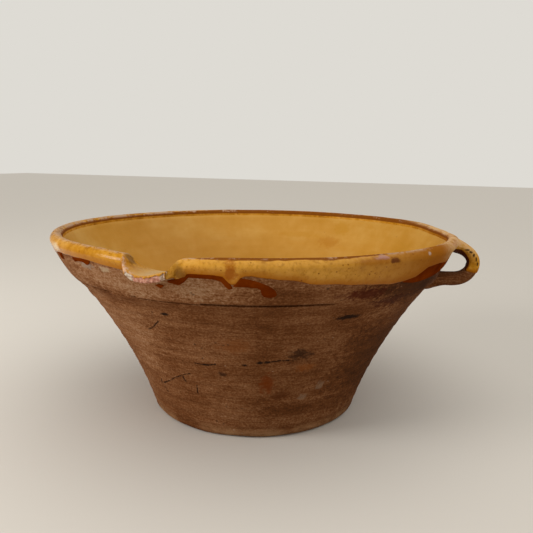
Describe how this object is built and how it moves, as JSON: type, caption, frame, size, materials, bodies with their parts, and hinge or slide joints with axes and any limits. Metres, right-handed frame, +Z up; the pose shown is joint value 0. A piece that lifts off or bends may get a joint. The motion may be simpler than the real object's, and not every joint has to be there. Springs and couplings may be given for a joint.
{
  "type": "tian dish",
  "caption": "Wide earthenware dish with a flared wall, rim band, pouring spout and strap handles, bare clay outside and yellow glaze inside, for baking and kneading.",
  "frame": {"origin": "middle of the flat foot, on the surface that the dish stands on", "axes": "+Z up, the spout points along -Y, the handles lie near +X and -X"},
  "size_m": [0.4994, 0.4636, 0.2066],
  "materials": {
    "bare_clay": "matte",
    "pale_slip": "matte",
    "yellow_glaze": "gloss",
    "amber_glaze": "gloss"
  },
  "bodies": {
    "root": {"thrown_bowl": "bare_clay", "rim_band": "bare_clay", "pouring_spout": "bare_clay", "right_handle": "bare_clay", "left_handle": "bare_clay", "right_handle_root": "bare_clay", "left_handle_root": "bare_clay", "slip_lining": "pale_slip", "interior_glaze": "yellow_glaze", "rim_glaze": "yellow_glaze", "spout_glaze": "yellow_glaze", "handle_glaze": "yellow_glaze", "glaze_runs": "amber_glaze"}
  },
  "joints": []
}
